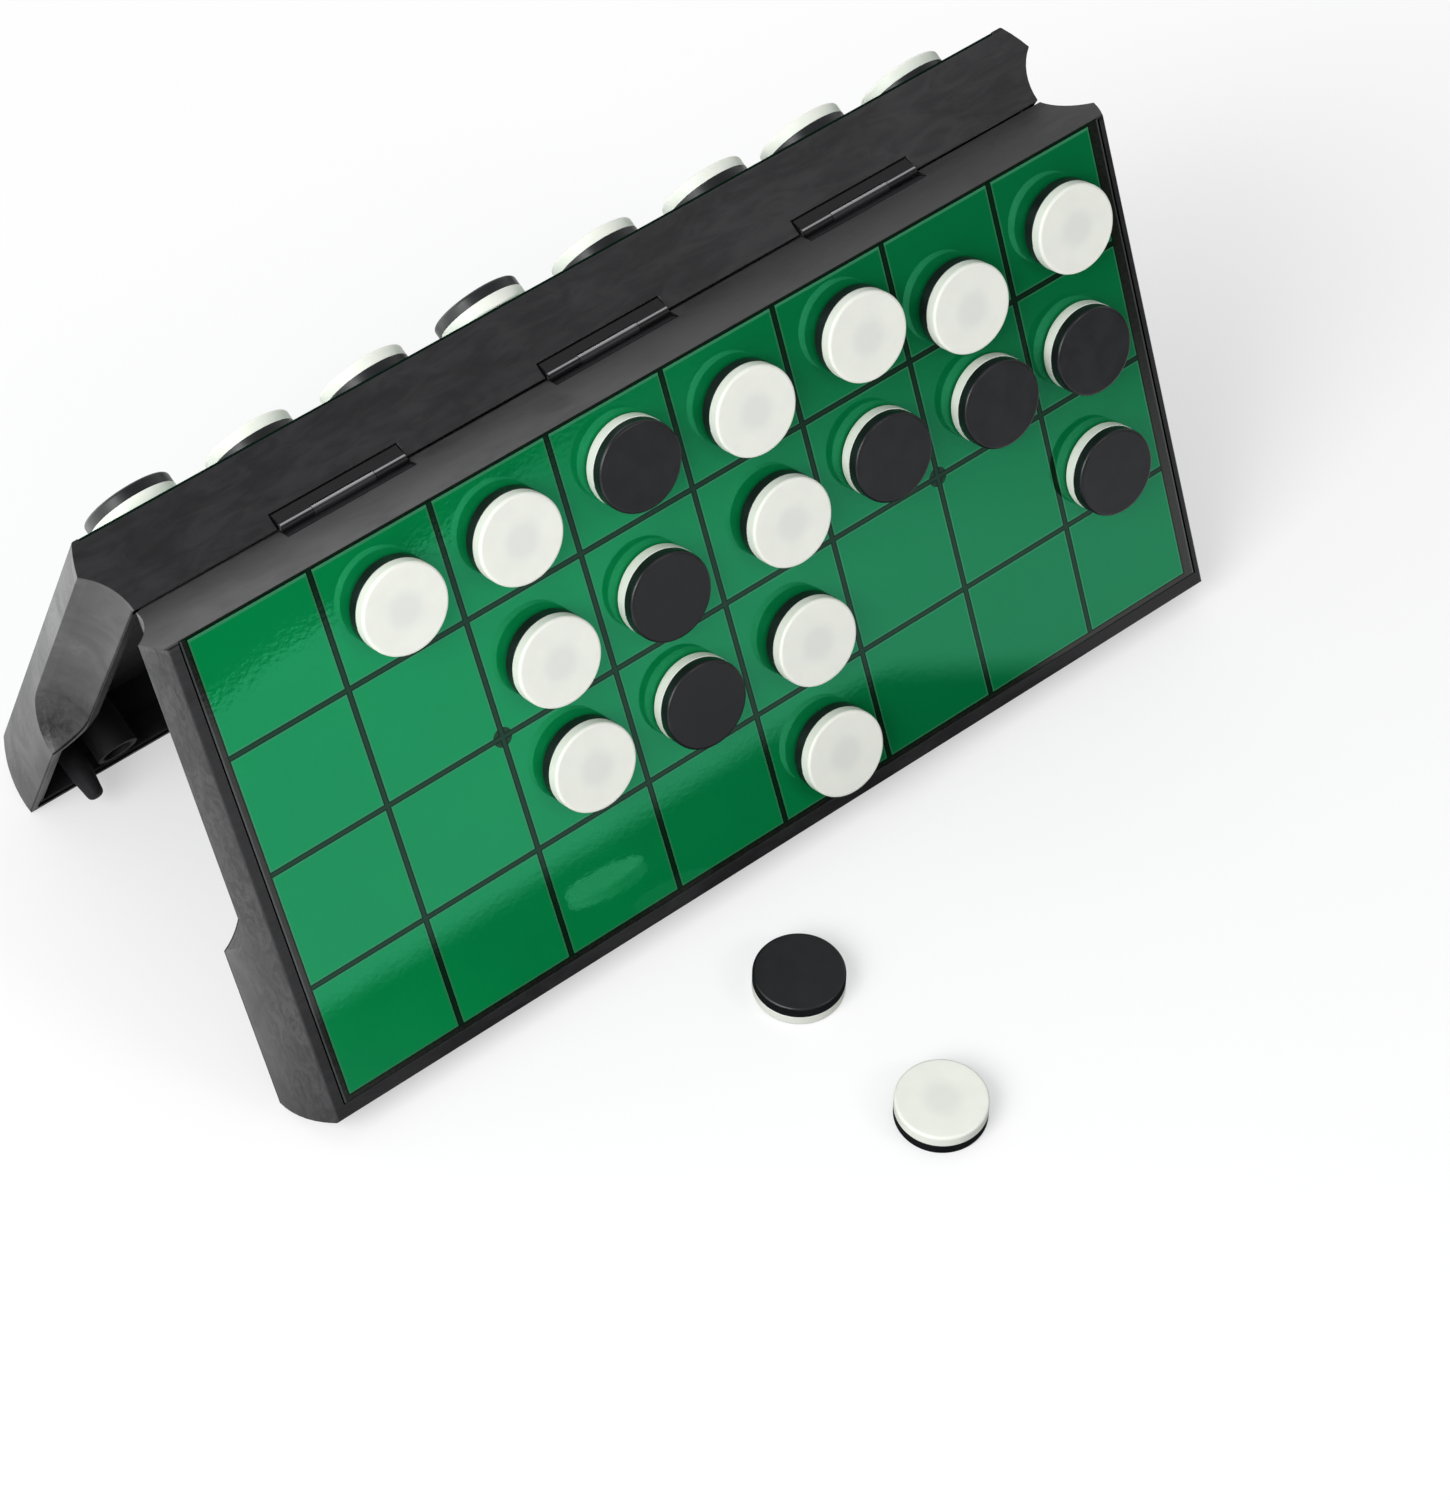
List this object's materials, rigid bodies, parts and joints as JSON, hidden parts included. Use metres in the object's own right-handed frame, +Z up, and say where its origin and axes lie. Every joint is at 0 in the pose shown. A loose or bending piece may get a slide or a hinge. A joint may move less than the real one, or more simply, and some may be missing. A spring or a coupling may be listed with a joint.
{
  "type": "folding reversi board game",
  "caption": "Folding reversi board standing as a tent: two hinged black trays with green grids, two-colour magnetic discs on both faces and spare discs on the floor.",
  "frame": {"origin": "on the floor, below the middle of the hinge axis, with the board standing as a tent", "axes": "+X along the hinge, towards the right end of the front side; +Z up; +Y from the front half to the back half"},
  "size_m": [0.1942, 0.1635, 0.0944],
  "materials": {
    "black_moulding": "satin black moulded",
    "green_sheet": "glossy green",
    "dark_print": "glossy dark grey print",
    "plated_steel": "plain rolled",
    "hinge_leaf": "black coated",
    "pin_steel": "drawn wire",
    "magnet": "sintered ferrite",
    "disc_black": "satin black",
    "disc_white": "smooth off-white"
  },
  "bodies": {
    "front_half": {"disc_r1c2_black": "disc_black", "disc_r1c2_white": "disc_white", "disc_r1c3_black": "disc_black", "disc_r1c3_white": "disc_white", "disc_r1c4_black": "disc_black", "disc_r1c4_white": "disc_white", "disc_r1c5_black": "disc_black", "disc_r1c5_white": "disc_white", "disc_r1c6_black": "disc_black", "disc_r1c6_white": "disc_white", "disc_r1c7_black": "disc_black", "disc_r1c7_white": "disc_white", "disc_r1c8_black": "disc_black", "disc_r1c8_white": "disc_white", "disc_r2c3_black": "disc_black", "disc_r2c3_white": "disc_white", "disc_r2c4_black": "disc_black", "disc_r2c4_white": "disc_white", "disc_r2c5_black": "disc_black", "disc_r2c5_white": "disc_white", "disc_r2c6_black": "disc_black", "disc_r2c6_white": "disc_white", "disc_r2c7_black": "disc_black", "disc_r2c7_white": "disc_white", "disc_r2c8_black": "disc_black", "disc_r2c8_white": "disc_white", "disc_r3c3_black": "disc_black", "disc_r3c3_white": "disc_white", "disc_r3c4_black": "disc_black", "disc_r3c4_white": "disc_white", "disc_r3c5_black": "disc_black", "disc_r3c5_white": "disc_white", "disc_r3c8_black": "disc_black", "disc_r3c8_white": "disc_white", "disc_r4c5_black": "disc_black", "disc_r4c5_white": "disc_white", "front_disc_magnets": "magnet", "front_grid_print": "dark_print", "front_playing_sheet": "green_sheet", "front_steel_plate": "plated_steel", "front_tray": "black_moulding", "hinge_front_leaves": "hinge_leaf", "spare_disc_1_black": "disc_black", "spare_disc_1_white": "disc_white", "spare_disc_2_black": "disc_black", "spare_disc_2_white": "disc_white", "spare_disc_magnets": "magnet"},
    "back_half": {"back_disc_magnets": "magnet", "back_discs_black": "disc_black", "back_discs_white": "disc_white", "back_grid_print": "dark_print", "back_playing_sheet": "green_sheet", "back_steel_plate": "plated_steel", "back_tray": "black_moulding", "hinge_back_leaves": "hinge_leaf", "hinge_pins": "pin_steel"}
  },
  "joints": [
    {"name": "fold", "type": "hinge", "parent": "front_half", "child": "back_half", "pos_m": [0, 0, 0.08744], "axis": [1, 0, 0], "range_deg": [-46.2, 133.8]}
  ]
}
